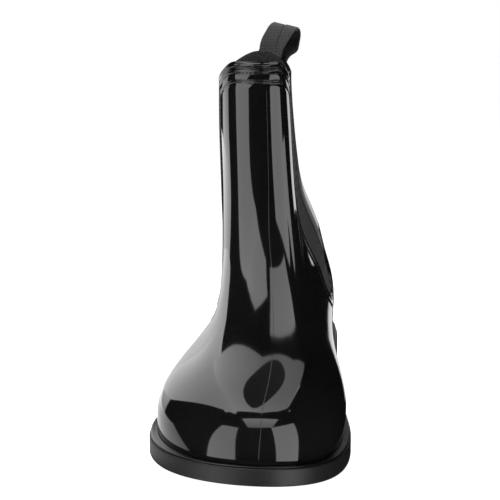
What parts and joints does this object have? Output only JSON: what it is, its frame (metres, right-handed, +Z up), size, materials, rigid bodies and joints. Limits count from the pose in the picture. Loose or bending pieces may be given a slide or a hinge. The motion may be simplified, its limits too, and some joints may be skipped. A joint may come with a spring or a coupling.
{
  "type": "rubber ankle boot",
  "caption": "Glossy black moulded rubber ankle boot for the right foot, with elastic side gores, a back pull loop, a welt strip and a heeled lugged outsole; stands empty on its sole.",
  "frame": {"origin": "on the floor under the middle of the boot's box", "axes": "-Y to the toe, +X to the inner side of the foot, +Z up the leg"},
  "size_m": [0.1016, 0.2854, 0.2121],
  "materials": {
    "upper_gloss_rubber": "mirror-bright moulded black",
    "sole_matt_rubber": "matt black",
    "welt_matt_rubber": "satin black, finely ribbed",
    "gore_elastic": "ribbed black elastic",
    "loop_webbing": "dark grey woven tape",
    "insole_fabric": "black knit"
  },
  "bodies": {
    "root": {"outsole": "sole_matt_rubber", "welt": "welt_matt_rubber", "upper": "upper_gloss_rubber", "gore_outer": "gore_elastic", "gore_inner": "gore_elastic", "pull_loop": "loop_webbing", "insole": "insole_fabric"}
  },
  "joints": []
}
